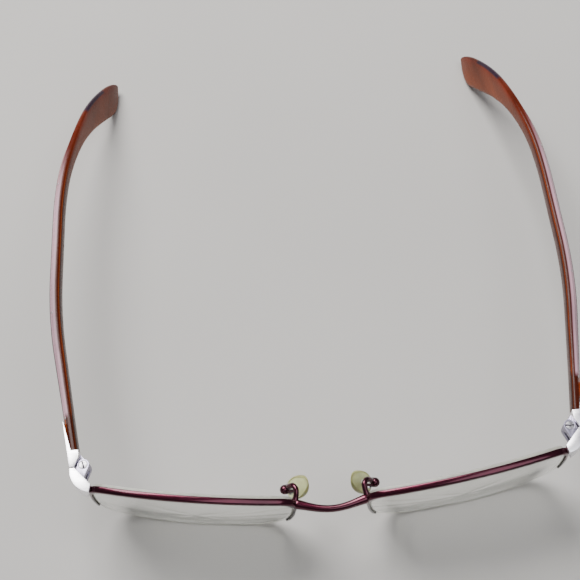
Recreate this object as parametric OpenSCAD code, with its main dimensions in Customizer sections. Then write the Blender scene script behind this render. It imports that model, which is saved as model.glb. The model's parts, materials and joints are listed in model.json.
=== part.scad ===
// Half rim eyeglasses: metal upper rims, nylon thread under the lenses, moulded temple sleeves.
// They stand open on a flat surface, on the lower edges of the lenses and the two temple tips.
// X runs across the face, +Y from the lenses towards the temple tips, +Z up.

/* [Lens] */
// Width of one lens
lens_w = 49.8; // [40:0.1:60]
// Height of one lens
lens_h = 28; // [22:0.1:36]
// Distance between the two lenses
lens_gap = 18.6; // [14:0.1:24]
// Thickness of a lens
lens_t = 2.1; // [2:0.1:3]
// Radius of the sphere that the front of both lenses follows
base_r = 150; // [110:1:260]
// Angle by which each lens wraps round the face
face_wrap = 8; // [2:0.5:14]
// Angle by which the top of the front leans forward
face_lean = 7; // [0:0.5:12]
// Width of the groove in the edge of a lens
groove_w = 0.5; // [0.4:0.05:0.6]
// Depth of the groove in the edge of a lens
groove_d = 0.55; // [0.4:0.05:0.7]

/* [Lens outline] */
// Radius of the upper corner beside the temple
top_out_r = 4.5; // [3:0.5:8]
// Radius of the upper corner beside the nose
top_in_r = 5; // [3:0.5:8]
// Radius of the lower corner beside the nose
low_in_r = 11; // [6:0.5:14]
// Radius of the lower corner beside the temple
low_out_r = 10; // [6:0.5:14]
// Drop of the upper corner beside the nose below the other one
brow_drop = 2.4; // [0:0.1:5]
// Radius of the long upper side
brow_r = 90; // [60:5:300]

/* [Rim] */
// Thickness of the rim above the lens
rim_t = 1.4; // [1:0.1:2.5]
// Depth of the rim from front to back
rim_d = 1.6; // [1.5:0.1:2]
// How far the rim stands in front of the lens
rim_proud = 0.5; // [0.3:0.05:0.55]
// Thickness of the rim where it hooks down each side of the lens
hook_t = 0.8; // [0.6:0.05:1.2]
// How far down the nose side the rim hooks, as an angle of the outline
hook_in_a = 205; // [185:1:215]
// How far down the temple side the rim hooks, as an angle of the outline
hook_out_a = -3; // [-35:1:-2]
// Depth of the channel inside the rim for the liner strip
channel_d = 0.3; // [0.2:0.05:0.4]
// Gap between the lens and the rim
seat_gap = 0.05; // [0.02:0.01:0.15]

/* [Bridge] */
// How far the middle of the bridge stands in front of its ends
bridge_bow = 2.2; // [0:0.1:5]
// Depth of the bridge bar at its middle
bridge_d = 1.7; // [1.2:0.1:3]
// Height of the bridge bar at its middle
bridge_h = 1.9; // [1.2:0.1:4]
// How much thicker the bridge is where it meets the rims
bridge_flare = 1.4; // [1:0.05:1.8]

/* [End piece and hinge] */
// Distance from the lens corner back to the hinge axis
end_reach = 5.3; // [4.5:0.1:8]
// Distance from the lens corner out to the hinge axis
hinge_out = 1.1; // [0.8:0.1:3]
// Height of the end piece
end_h = 4.6; // [4:0.1:6]
// Rise of the end piece above the lens
end_rise = 0.9; // [0:0.1:2]
// Radius of the hinge barrels
barrel_r = 1.5; // [1.4:0.05:1.6]
// Height of the whole hinge
hinge_h = 3.9; // [3.3:0.1:4.2]
// Radius of the hinge screw's shank
screw_r = 0.55; // [0.4:0.05:0.7]
// Radius of the hinge screw's head
screw_head_r = 1.02; // [0.8:0.02:1.1]
// Radial clearance of a pin in its bore
pin_fit = 0.03; // [0.01:0.01:0.08]

/* [Temple] */
// Distance from the hinge axis back to the end of the tip
temple_reach = 140; // [125:0.5:155]
// Thickness of the sleeve
sleeve_w = 2.6; // [2.2:0.1:3.5]
// How much thicker the sleeve is along the middle of the temple
sleeve_swell = 0.6; // [0:0.1:1]
// Height of the sleeve along its straight length
sleeve_h = 4.8; // [4:0.1:6.5]
// Outward slope of the first third of the temple, in degrees
splay_a = 9.2; // [4:0.1:11]
// Distance from the hinge to the first turn inwards
turn_1 = 44; // [30:1:60]
// Distance from the hinge to the second turn inwards
turn_2 = 86.5; // [75:0.5:100]
// Downward slope of the straight length, in degrees
drop_a = 2.5; // [0:0.1:5]
// Height of the tip's broad end above the surface
tip_rise = 8.5; // [7:0.1:10.5]
// Length of the tip behind its broadest place
tip_end = 6.5; // [4:0.5:9]
// Turn of the tip's lower edge towards the head, in degrees
tip_roll = 20; // [0:1:30]
// Width of the metal core inside the sleeve
core_w = 0.9; // [0.7:0.1:1.2]
// Height of the metal core inside the sleeve
core_h = 1.8; // [1:0.1:2.4]
// Radius of the cross pins
cross_pin_r = 0.35; // [0.2:0.05:0.45]

/* [Nose pad] */
// Height of a nose pad
pad_l = 10.9; // [9:0.1:15]
// Width of a nose pad
pad_w = 5.5; // [4.8:0.1:9]
// Thickness of a nose pad
pad_t = 1.9; // [1.6:0.1:3]
// Lean of the pad's top towards the front, in degrees
pad_lean = 12; // [-10:1:15]
// Lean of the pad's top towards the nose, in degrees
pad_flare = 28; // [5:1:34]
// Turn of the pad's face towards the back, in degrees
pad_splay = 18; // [5:1:30]
// Radius of the pad box
box_r = 1.2; // [1:0.05:1.5]
// Radius of the wire that carries the pad box
arm_r = 0.45; // [0.35:0.05:0.6]

/* [Hidden] */
$fn = 48;

left = -1;
right = 1;

plum = [0.34, 0.09, 0.22];
silver = [0.86, 0.85, 0.9];
steel = [0.72, 0.72, 0.75];
amber = [0.55, 0.2, 0.08];
nylon = [0.93, 0.93, 0.88];
clear = [0.9, 0.95, 0.9, 0.4];
silicone = [0.82, 0.84, 0.6, 0.7];

// --- Lens outline: four corner circles joined by four long arcs, counter-clockwise ---

side_r = 70;
base_side_r = 320;
// Each corner is [centre across, centre up, radius], starting at the upper corner by the temple.
corners = [
    [lens_w / 2 - top_out_r - 0.3, lens_h / 2 - top_out_r - 0.35, top_out_r],
    [-lens_w / 2 + top_in_r + 0.1, lens_h / 2 - top_in_r - brow_drop, top_in_r],
    [-lens_w / 2 + low_in_r + 1.7, -lens_h / 2 + low_in_r + 0.2, low_in_r],
    [lens_w / 2 - low_out_r - 0.1, -lens_h / 2 + low_out_r + 0.2, low_out_r]
];
sides = [brow_r, side_r, base_side_r, side_r];

function xy(c) = [c.x, c.y];
function angle_of(v) = atan2(v.y, v.x);
function wrap_from(a, low) = a < low - 0.001 ? wrap_from(a + 360, low) : a;
function mod4(i) = (i + 4) % 4;

// Centre of the long arc that leaves corner i and touches the next corner.
function side_centre(i) =
    let (a = corners[mod4(i)], b = corners[mod4(i + 1)], r = sides[mod4(i)])
    let (da = r - a[2], db = r - b[2], gap = xy(b) - xy(a), d = norm(gap))
    let (along = (da * da - db * db + d * d) / (2 * d), across = sqrt(da * da - along * along))
    xy(a) + gap / d * along + [-gap.y, gap.x] / d * across;
function leave_angle(i) = angle_of(xy(corners[mod4(i)]) - side_centre(i));
function reach_angle(i) = angle_of(xy(corners[mod4(i)]) - side_centre(i - 1));

// Arcs in turning order: [start angle, end angle, centre, radius].
first_angle = wrap_from(reach_angle(0), -90);
corner_start = [for (i = [0:3]) wrap_from(reach_angle(i), i == 0 ? -90 : first_angle)];
corner_stop = [for (i = [0:3]) wrap_from(leave_angle(i), corner_start[i])];
arcs = [
    for (i = [0:3]) each [
        [corner_start[i], corner_stop[i], xy(corners[i]), corners[i][2], 7],
        [corner_stop[i], i == 3 ? first_angle + 360 : corner_start[i + 1], side_centre(i), sides[i], 7]
    ]
];
knots = [for (a = arcs) for (k = [0:a[4] - 1]) a[0] + (a[1] - a[0]) * k / a[4]];

function in_turn(a) = wrap_from(a >= first_angle + 360 ? a - 360 : a, first_angle);
function arc_at(a) = [for (s = arcs) if (in_turn(a) >= s[0] - 0.001 && in_turn(a) <= s[1] + 0.001) s][0];
// A point of the outline whose outward direction is angle a, moved out by grow.
function edge_point(a, grow) = let (s = arc_at(a)) s[2] + (s[3] + grow) * [cos(a), sin(a)];
function knots_between(a, b) = [
    a,
    for (turn = [-360, 0]) for (k = knots) if (k + turn > a + 0.5 && k + turn < b - 0.5) k + turn,
    b
];

// How thick the rim is where the outline faces angle a.
hook_blend = 16;
function blend_up(t) = let (c = min(1, max(0, t))) c * c * (3 - 2 * c);
function rim_grow(a) =
    hook_t + (rim_t - hook_t) * blend_up((a - 8) / (2 * hook_blend)) * blend_up((178 - a) / (2 * hook_blend));

module full_outline(grow = 0) {
    polygon([for (a = knots) edge_point(a, grow)]);
}

// Part of a ring that follows the outline between two angles.
module outline_band(a, b, from, to) {
    turns = knots_between(a, b);
    n = len(turns) - 1;
    polygon(concat(
        [for (t = turns) edge_point(t, to)],
        [for (k = [n:-1:0]) edge_point(turns[k], from)]
    ));
}

// Everything inside the rim's outer face, for cutting what is fixed to the rim.
module rim_block() {
    polygon([for (a = knots) edge_point(a, seat_gap + rim_grow(in_turn(a)))]);
}

module rim_outline() {
    turns = knots_between(hook_out_a, hook_in_a);
    n = len(turns) - 1;
    polygon(concat(
        [for (t = turns) edge_point(t, seat_gap + rim_grow(t))],
        [for (k = [n:-1:0]) edge_point(turns[k], seat_gap)]
    ));
}

// --- Where the lens sits, measured from the middle of the two hinge axes ---

function sag(u, v) = base_r - sqrt(base_r * base_r - u * u - v * v);
corner_sag = sag(lens_w / 2, lens_h / 2 - top_out_r);
lens_x = lens_gap / 2 + lens_w / 2 * cos(face_wrap);
hinge_x = lens_x + lens_w / 2 * cos(face_wrap) + hinge_out;
lens_y = -end_reach - lens_w / 2 * sin(face_wrap) - corner_sag * cos(face_wrap)
    + (lens_h / 2 - top_out_r) * sin(face_lean) - rim_d / 2;
// The lowest point of the lens, which stands on the surface.
low_z = min([
    for (k = knots) let (p = edge_point(k, 0)) sag(p.x, p.y) * sin(face_lean) + p.y * cos(face_lean)
]);
lens_z = -low_z;
end_top = lens_z + lens_h / 2 + end_rise;

// A point of the right lens: u towards the temple, s back from the front vertex, v up.
function lens_point(u, s, v) =
    let (y = s * cos(face_lean) - v * sin(face_lean), z = s * sin(face_lean) + v * cos(face_lean))
    [
        lens_x + u * cos(face_wrap) - y * sin(face_wrap),
        lens_y + u * sin(face_wrap) + y * cos(face_wrap),
        lens_z + z
    ];

module at_lens() {
    translate([lens_x, lens_y, lens_z])
        rotate([face_lean, 0, face_wrap])
            children();
}

// An outline pushed from front to back through the lens.
module through_lens(deep = 14) {
    rotate([90, 0, 0])
        linear_extrude(deep * 2, center = true)
            children();
}

// A curved layer of the front, from one depth behind the front surface to another.
module curved_layer(from, to) {
    translate([0, base_r, 0]) difference() {
        sphere(base_r - from, $fn = 96);
        sphere(base_r - to, $fn = 96);
    }
}

module lens_layer(from, to) {
    intersection() {
        through_lens() children();
        curved_layer(from, to);
    }
}

// --- Swept bars: rings of points joined end to end ---

// One ring: centre c, half sizes a along unit vector p and b along unit vector q.
function ring(c, a, b, p, q, n, square) = [
    for (k = [0:n - 1])
        let (t = 360 * (k + 0.5) / n, ct = cos(t), st = sin(t))
        c + p * a * sign(ct) * pow(abs(ct), square) + q * b * sign(st) * pow(abs(st), square)
];

module bar(rings) {
    n = len(rings[0]);
    last = len(rings) - 1;
    polyhedron(
        points = [for (r = rings) each r],
        faces = concat(
            [[for (k = [0:n - 1]) k]],
            [for (i = [0:last - 1]) for (k = [0:n - 1]) each [
                [i * n + k, (i + 1) * n + k, (i + 1) * n + (k + 1) % n],
                [i * n + k, (i + 1) * n + (k + 1) % n, i * n + (k + 1) % n]
            ]],
            [[for (k = [n - 1:-1:0]) last * n + k]]
        ),
        convexity = 6
    );
}

function unit(v) = v / norm(v);

// --- Placing ---

bridge_z = lens_z + (lens_h / 2 - top_in_r - brow_drop + 2.2) * cos(face_lean);
nose_corner = lens_point(-lens_w / 2 + 0.3, sag(lens_w / 2, lens_h / 4) + rim_d / 2, bridge_z - lens_z);
bridge_y = nose_corner.y - bridge_bow;
front_reach = -(bridge_y - bridge_d / 2);
hinge_y = (front_reach - temple_reach) / 2;

// Draws the right-hand piece, or mirrors it to the left.
module on_side(side) {
    translate([0, hinge_y, 0])
        mirror([side == left ? 1 : 0, 0, 0])
            children();
}

// --- Front ---

groove_mid = rim_d - rim_proud - 0.55;
groove_front = groove_mid - groove_w / 2;
groove_back = groove_mid + groove_w / 2;
strip_gap = 0.04;

module rim(side) {
    color(plum) on_side(side) at_lens() difference() {
        lens_layer(-rim_proud, rim_d - rim_proud) rim_outline();
        lens_layer(groove_front, groove_back)
            outline_band(hook_out_a - 1, hook_in_a + 1, -0.2, seat_gap + channel_d);
    }
}

module rim_liner(side) {
    color(nylon) on_side(side) at_lens()
        lens_layer(groove_front + strip_gap, groove_back - strip_gap)
            outline_band(2, 176, -groove_d + strip_gap, seat_gap + channel_d - strip_gap);
}

module lens(side) {
    color(clear) on_side(side) at_lens() difference() {
        lens_layer(0, lens_t) full_outline();
        lens_layer(groove_front, groove_back) difference() {
            full_outline(1);
            full_outline(-groove_d);
        }
    }
}

module lens_cord(side) {
    color(nylon) on_side(side) at_lens()
        lens_layer(groove_front + strip_gap, groove_back - strip_gap)
            outline_band(180, 358, -groove_d + strip_gap, -strip_gap);
}

bridge_steps = 22;
bridge_sides = 14;
module bridge() {
    half = nose_corner.x + 0.3;
    color(plum) translate([0, hinge_y, 0]) difference() {
        bar([
            for (i = [0:bridge_steps])
                let (t = 2 * i / bridge_steps - 1)
                let (ease = (1 - cos(180 * t)) / 2)
                let (swell = 1 + (bridge_flare - 1) * pow(abs(t), 3))
                let (c = [t * half, bridge_y + bridge_bow * ease, bridge_z + 0.25 * (1 - ease)])
                let (turn = atan(bridge_bow * 90 * sin(180 * t) / half * PI / 180))
                ring(c, bridge_d / 2 * swell, bridge_h / 2 * swell,
                    [sin(turn), -cos(turn), 0], [0, 0, 1], bridge_sides, 0.8)
        ]);
        for (side = [left, right])
            mirror([side == left ? 1 : 0, 0, 0])
                at_lens() through_lens(6) rim_block();
    }
}

// --- End piece and hinge ---

axis_at = [hinge_x, 0];
split_gap = 0.2;
split_y = -0.8;
seat_a = axis_at + [1.95, split_y - split_gap / 2];
seat_b = axis_at + [-2, -end_reach];
seat_dir = unit(seat_b - seat_a);
end_curve = axis_at + [-2.7, -1.6];
end_curve_r = 5.85;
hinge_top = end_top - 0.9;
hinge_low = hinge_top - hinge_h;
knuckle_h = hinge_h / 3;
knuckle_gap = 0.05;

module end_piece(side) {
    color(silver) on_side(side) difference() {
        translate([0, 0, end_top - end_h]) linear_extrude(end_h) intersection() {
            translate(end_curve) circle(end_curve_r, $fn = 96);
            polygon([
                seat_a,
                seat_b,
                seat_b + [0.6, -3.4],
                seat_a + [3, -9],
                seat_a + [3, 0]
            ]);
        }
        at_lens() through_lens(6) rim_block();
    }
}

module front_knuckle(low, high) {
    translate([0, 0, low]) linear_extrude(high - low) {
        translate(axis_at) circle(barrel_r);
        polygon([
            axis_at,
            axis_at + barrel_r * [-0.9, -0.43],
            seat_a + seat_dir * 3.3,
            seat_a,
            axis_at + barrel_r * [0.8, 0.2]
        ]);
    }
}

module pin_bore(r) {
    translate([axis_at.x, axis_at.y, hinge_low - 1]) cylinder(h = hinge_h + 2, r = r);
}

module front_hinge(side) {
    color(silver) on_side(side) difference() {
        union() {
            front_knuckle(hinge_top - knuckle_h, hinge_top);
            front_knuckle(hinge_low, hinge_low + knuckle_h);
        }
        pin_bore(screw_r + pin_fit);
        translate([axis_at.x, axis_at.y, hinge_top - screw_head_t])
            cylinder(h = screw_head_t + 1, r = screw_head_r + pin_fit);
    }
}

screw_head_t = 0.5;
module hinge_screw(side) {
    color(steel) on_side(side) translate([axis_at.x, axis_at.y, 0]) difference() {
        union() {
            translate([0, 0, hinge_low - 0.1]) cylinder(h = hinge_h - 0.1, r = screw_r);
            translate([0, 0, hinge_top - screw_head_t + 0.02])
                cylinder(h = screw_head_t + 0.04, r = screw_head_r);
        }
        translate([0, 0, hinge_top])
            rotate(side == left ? 75 : 0)
                cube([3 * screw_head_r, 0.3, 0.5], center = true);
    }
}

block_front = axis_at + [2.1, split_y + split_gap / 2];
block_inner = axis_at + [1.1, 1.75];
block_back = 3.7;

module temple_hinge(side) {
    color(silver) on_side(side) difference() {
        translate([0, 0, hinge_low + knuckle_h + knuckle_gap])
            linear_extrude(knuckle_h - 2 * knuckle_gap) {
                translate(axis_at) circle(barrel_r);
                polygon([
                    axis_at,
                    axis_at + barrel_r * [0.97, 0.22],
                    (block_front + block_inner) / 2,
                    block_inner,
                    block_inner + [0, 1.5],
                    axis_at + barrel_r * [-0.56, 0.83]
                ]);
            }
        pin_bore(screw_r + pin_fit);
    }
}

// --- Temple: a path given by its top line, as functions of the distance y behind the hinge ---

temple_x = hinge_x + 1.95;
tip_y = temple_reach - tip_end;
top_start = end_top;
bend_top = top_start - turn_2 * tan(drop_a);
bend_a = 2 * atan((bend_top - tip_rise) / (tip_y - turn_2)) - drop_a;
bend_r = (tip_y - turn_2) / (sin(bend_a) - sin(drop_a));
turn_w = 12;
splay = tan(splay_a);
inward = 0.169;
tip_curl = 0.26;
curl_y = tip_y - 6;

// Straight before the turn, straight after it, and a parabola between.
function ramp(d, w) = d < -w ? 0 : d > w ? d : (d + w) * (d + w) / (4 * w);
function ramp_slope(d, w) = d < -w ? 0 : d > w ? 1 : (d + w) / (2 * w);
function plan_x(y) = temple_x + splay * (y - ramp(y - turn_1, turn_w))
    - inward * ramp(y - turn_2, turn_w) - tip_curl * ramp(y - curl_y, turn_w);
function plan_slope(y) = splay * (1 - ramp_slope(y - turn_1, turn_w))
    - inward * ramp_slope(y - turn_2, turn_w) - tip_curl * ramp_slope(y - curl_y, turn_w);
function pitch(y) = y < turn_2 ? drop_a
    : y > tip_y ? bend_a
    : asin(sin(drop_a) + (y - turn_2) / bend_r);
function top_z(y) = y < turn_2 ? top_start - y * tan(drop_a)
    : y > tip_y ? tip_rise - (y - tip_y) * tan(bend_a)
    : bend_top - bend_r * (cos(drop_a) - cos(pitch(y)));

flare_y = tip_y - 40;
function height(y, tip = tip_h) = y <= tip_y
    ? sleeve_h + (tip - sleeve_h) * pow(blend_up((y - flare_y) / (tip_y - flare_y)), 1.5)
    : tip * max(0.1, sqrt(max(0, 1 - pow((y - tip_y) / tip_end, 2))));
function roll(y) = tip_roll * blend_up((y - turn_2) / (tip_y - turn_2));
function level(y) = unit([1, -plan_slope(y), 0]);
function plumb(y) = unit(cross(unit([plan_slope(y), 1, -tan(pitch(y))]), level(y)));
function across(y) = level(y) * cos(roll(y)) + plumb(y) * sin(roll(y));
function down(y) = plumb(y) * cos(roll(y)) - level(y) * sin(roll(y));
// A ring of the temple with its top a little below the top line.
function temple_ring(y, w, h, below, n, square) =
    ring([plan_x(y), y, top_z(y)] + down(y) * (below + h / 2), w / 2, h / 2, across(y), down(y), n, square);

sleeve_start = 4;
sleeve_steps = 44;
sleeve_ys = [
    for (i = [0:sleeve_steps]) sleeve_start + (tip_y - sleeve_start) * i / sleeve_steps,
    for (t = [0.2, 0.4, 0.6, 0.75, 0.88, 0.96, 1]) tip_y + tip_end * t
];
core_end = tip_y - 12;
core_steps = 30;

// The tip is just high enough to touch the surface.
function sleeve_ring(y, h) = temple_ring(y, sleeve_width(y), h, 0, 16, 0.55);
function lowest(h) = min([for (y = sleeve_ys) for (p = sleeve_ring(y, height(y, h))) p.z]);
guess_a = tip_rise / cos(bend_a) / cos(tip_roll);
guess_b = guess_a * tip_rise / (tip_rise - lowest(guess_a));
tip_h = guess_b - lowest(guess_b) * (guess_b - guess_a) / (lowest(guess_b) - lowest(guess_a));

function sleeve_width(y) = y > tip_y
    ? sleeve_w * max(0.4, 1 - 0.6 * pow((y - tip_y) / tip_end, 2))
    : sleeve_w + sleeve_swell * blend_up((y - 8) / 30) * blend_up((tip_y - y) / 40);

module core_bar(start, stop, grow) {
    bar([
        for (i = [0:core_steps])
            let (y = start + (stop - start) * i / core_steps)
            temple_ring(y, core_w + grow, core_h + grow, (sleeve_h - core_h - grow) / 2, 8, 0.6)
    ]);
}

// The fitting's outline from above: a block at the hinge and a tongue along the outer side.
tongue_end = 11.5;
tongue_w = 0.9;
function outer_x(y) = plan_x(y) + sleeve_width(y) / 2;
module fitting_outline(grow = 0) {
    polygon([
        block_front,
        block_inner + [-grow, 0],
        [block_inner.x - grow, block_back + grow],
        [outer_x(block_back) - tongue_w - grow, block_back + grow],
        [outer_x(tongue_end) - 0.1, tongue_end + grow],
        [outer_x(tongue_end) + grow, tongue_end],
        [outer_x(0) + grow, split_y + split_gap / 2]
    ]);
}

module temple_fitting(side) {
    color(silver) on_side(side)
        translate([0, 0, end_top - end_h])
            linear_extrude(end_h)
                fitting_outline();
}

module temple_core(side) {
    color(steel) on_side(side) core_bar(block_back - 1.2, core_end, 0);
}

pin_ys = [13, turn_1, turn_2];
module cross_pin(y, r, extra) {
    translate([plan_x(y), y, top_z(y) - 0.6])
        rotate([0, 90, -atan(plan_slope(y))])
            cylinder(h = sleeve_width(y) + extra, r = r, center = true, $fn = 24);
}

module temple_pins(side) {
    color(steel) on_side(side) for (y = pin_ys) cross_pin(y, cross_pin_r, -0.02);
}

module temple_sleeve(side) {
    color(amber) on_side(side) difference() {
        bar([for (y = sleeve_ys) sleeve_ring(y, height(y))]);
        core_bar(sleeve_start - 3, core_end + 0.3, 0.06);
        translate([0, 0, end_top - end_h - 2]) linear_extrude(end_h + 4) fitting_outline(0.02);
        for (y = pin_ys) cross_pin(y, cross_pin_r, 1);
    }
}

// --- Nose pads ---

pad_x = nose_corner.x + 0.6;
pad_y = nose_corner.y + 4.6;
pad_z = bridge_z - 2.35;
pad_back = 1.8;
insert_w = 0.9;
slot_gap = 0.1;
pad_screw_r = 0.33;
box_l = 1.5;

// Origin on the pad's own screw, +X away from the nose, +Z along the pad's height.
module at_pad() {
    translate([pad_x, pad_y, pad_z])
        rotate([pad_lean, -pad_flare, -pad_splay])
            children();
}

module pad_box(side) {
    color(plum) on_side(side) at_pad() difference() {
        union() {
            rotate([0, 90, 0]) translate([0, 0, -box_r]) cylinder(h = box_r + box_l, r = box_r);
            translate([box_l, 0, 0]) sphere(box_r);
        }
        translate([-box_r - 1, -insert_w / 2 - slot_gap, -2])
            cube([box_r + 1.95, insert_w + 2 * slot_gap, 4]);
        rotate([90, 0, 0]) cylinder(h = 4, r = pad_screw_r + 0.02, center = true, $fn = 24);
    }
}

module pad_screw(side) {
    color(steel) on_side(side) at_pad() rotate([90, 0, 0]) {
        cylinder(h = 2 * box_r + 0.1, r = pad_screw_r, center = true, $fn = 24);
        translate([0, 0, box_r + 0.02]) cylinder(h = 0.3, r = 0.55, $fn = 24);
    }
}

module insert_shape(grow) {
    translate([-pad_back - pad_t / 2 - grow, -1.1 - grow, -1.8 - grow])
        cube([0.5 + 2 * grow, 2.2 + 2 * grow, 3.6 + 2 * grow]);
    translate([-pad_back - pad_t / 2, -insert_w / 2 - grow, -0.75 - grow])
        cube([pad_back + pad_t / 2, insert_w + 2 * grow, 1.5 + 2 * grow]);
}

module pad_insert(side) {
    color(nylon) on_side(side) at_pad() difference() {
        union() {
            insert_shape(0);
            rotate([90, 0, 0]) cylinder(h = insert_w, r = 0.75, center = true, $fn = 32);
        }
        rotate([90, 0, 0]) cylinder(h = 4, r = pad_screw_r + pin_fit, center = true, $fn = 24);
    }
}

module nose_pad(side) {
    color(silicone) on_side(side) at_pad() difference() {
        intersection() {
            translate([-pad_back - pad_t, 0, 0])
                rotate([0, 90, 0])
                    linear_extrude(pad_t)
                        polygon([
                            for (k = [0:35])
                                let (t = 360 * k / 36)
                                [pad_l / 2 * cos(t), pad_w / 2 * sin(t) * (1 - 0.12 * cos(t))]
                        ]);
            translate([-pad_back - pad_t + 12, 0, 0]) sphere(12, $fn = 200);
            translate([-pad_back - 30, 0, 0]) sphere(30, $fn = 360);
        }
        insert_shape(0.02);
    }
}

// Wire from the corner of the rim, back over the top and down into the pad box.
arm_route = [
    nose_corner + [-0.5, 0.25, 0.1],
    nose_corner + [-0.95, 1.9, 0.9],
    nose_corner + [-0.95, 3.1, 1.15],
    nose_corner + [-0.3, 4.1, 0.75],
    nose_corner + [0.5, 4.35, -0.2],
    [pad_x + 0.6, pad_y - 0.15, pad_z + box_r - 0.05]
];
function spline(p, i, t) =
    let (a = p[max(0, i - 1)], b = p[i], c = p[i + 1], d = p[min(len(p) - 1, i + 2)])
    0.5 * (2 * b + (c - a) * t + (2 * a - 5 * b + 4 * c - d) * t * t + (3 * b - a - 3 * c + d) * t * t * t);
arm_points = [
    for (i = [0:len(arm_route) - 2]) for (k = [0:3]) spline(arm_route, i, k / 4),
    arm_route[len(arm_route) - 1]
];

function wire_ring(pts, i, r, n) =
    let (t = unit(pts[min(len(pts) - 1, i + 1)] - pts[max(0, i - 1)]))
    let (p = unit(cross(t, [0.8, 0, 0.6])), q = cross(t, p))
    ring(pts[i], r, r, p, q, n, 1);

module pad_arm(side) {
    color(plum) on_side(side)
        bar([for (i = [0:len(arm_points) - 1]) wire_ring(arm_points, i, arm_r, 10)]);
}

bridge();
rim(left);  // rim_left
rim(right);  // rim_right
rim_liner(left);  // rim_liner_left
rim_liner(right);  // rim_liner_right
lens(left);  // lens_left
lens(right);  // lens_right
lens_cord(left);  // lens_cord_left
lens_cord(right);  // lens_cord_right
end_piece(left);  // end_piece_left
end_piece(right);  // end_piece_right
front_hinge(left);  // front_hinge_left
front_hinge(right);  // front_hinge_right
hinge_screw(left);  // hinge_screw_left
hinge_screw(right);  // hinge_screw_right
pad_arm(left);  // pad_arm_left
pad_arm(right);  // pad_arm_right
pad_box(left);  // pad_box_left
pad_box(right);  // pad_box_right
pad_screw(left);  // pad_screw_left
pad_screw(right);  // pad_screw_right
pad_insert(left);  // pad_insert_left
pad_insert(right);  // pad_insert_right
nose_pad(left);  // nose_pad_left
nose_pad(right);  // nose_pad_right
temple_hinge(left);  // temple_hinge_left
temple_hinge(right);  // temple_hinge_right
temple_fitting(left);  // temple_fitting_left
temple_fitting(right);  // temple_fitting_right
temple_core(left);  // temple_core_left
temple_core(right);  // temple_core_right
temple_sleeve(left);  // temple_sleeve_left
temple_sleeve(right);  // temple_sleeve_right
temple_pins(left);  // temple_pins_left
temple_pins(right);  // temple_pins_right
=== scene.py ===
"""Half rim eyeglasses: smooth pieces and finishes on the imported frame."""
import json
import math

import bmesh
import bpy
from mathutils import Matrix, Vector


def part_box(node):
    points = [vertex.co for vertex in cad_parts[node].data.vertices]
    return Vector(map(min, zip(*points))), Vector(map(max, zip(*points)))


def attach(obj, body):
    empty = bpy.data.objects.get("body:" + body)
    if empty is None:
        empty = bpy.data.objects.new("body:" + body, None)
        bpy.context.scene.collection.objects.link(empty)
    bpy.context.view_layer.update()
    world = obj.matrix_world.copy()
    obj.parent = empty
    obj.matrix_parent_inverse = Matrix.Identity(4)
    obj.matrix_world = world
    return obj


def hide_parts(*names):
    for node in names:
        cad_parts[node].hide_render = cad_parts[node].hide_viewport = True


bl_info = {
    "name": "Half rim eyeglasses",
    "version": (1, 0, 0),
    "blender": (4, 2, 0),
    "location": "3D View > Sidebar > Eyeglasses",
    "description": "Rims, lenses, bridge, hinges, nose pads and temples of a pair of half rim eyeglasses",
    "category": "Object",
}

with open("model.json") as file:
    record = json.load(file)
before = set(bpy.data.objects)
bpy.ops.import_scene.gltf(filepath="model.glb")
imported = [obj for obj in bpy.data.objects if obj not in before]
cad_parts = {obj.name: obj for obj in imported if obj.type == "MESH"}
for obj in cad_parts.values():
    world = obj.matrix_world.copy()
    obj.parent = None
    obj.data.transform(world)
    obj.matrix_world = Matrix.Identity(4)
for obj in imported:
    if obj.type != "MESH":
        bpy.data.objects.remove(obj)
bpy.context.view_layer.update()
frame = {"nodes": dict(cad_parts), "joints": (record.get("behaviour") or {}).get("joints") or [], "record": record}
MM = 0.001
HINGE = next(Vector(j["pos_m"]) for j in frame["joints"] if j["name"] == "temple_right_fold")
PAD_PIVOT = next(Vector(j["pos_m"]) for j in frame["joints"] if j["name"] == "pad_right_rock")
SIDES = (("left", -1), ("right", 1))


def length(name, text, size):
    """A length property given in millimetres."""
    return bpy.props.FloatProperty(
        name=name, description=text, default=size * MM, min=0.0, subtype="DISTANCE", unit="LENGTH", precision=5
    )


def angle(name, text, degrees):
    """An angle property given in degrees."""
    return bpy.props.FloatProperty(
        name=name, description=text, default=math.radians(degrees), subtype="ANGLE", unit="ROTATION"
    )


def colour(name, text, rgb):
    """A colour property."""
    return bpy.props.FloatVectorProperty(
        name=name, description=text, default=rgb, size=3, min=0.0, max=1.0, subtype="COLOR"
    )


class EyeglassesFront(bpy.types.PropertyGroup):
    """Sizes of the lenses, rims and bridge."""

    lens_width: length("Lens width", "Width of one lens", 49.8)
    lens_height: length("Lens height", "Height of one lens", 28.0)
    lens_depth: length("Lens thickness", "Thickness of a lens from front to back", 2.1)
    base_radius: length("Base curve", "Radius of the sphere that the lens fronts follow", 150.0)
    wrap: angle("Wrap", "Angle by which each lens wraps round the face", 8.0)
    lean: angle("Lean", "Angle by which the top of the front leans forward", 7.0)
    rim_height: length("Rim height", "Thickness of the rim above the lens", 1.4)
    rim_depth: length("Rim depth", "Depth of the rim from front to back", 1.6)
    rim_proud: length("Rim step", "How far the rim stands in front of the lens", 0.5)
    hook: length("Hook", "Thickness of the rim where it runs down beside the lens", 0.8)
    bridge_bow: length("Bridge bow", "How far the middle of the bridge stands forward", 2.2)
    bridge_depth: length("Bridge depth", "Depth of the bridge bar at its middle", 1.7)
    bridge_height: length("Bridge height", "Height of the bridge bar at its middle", 1.9)


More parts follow.
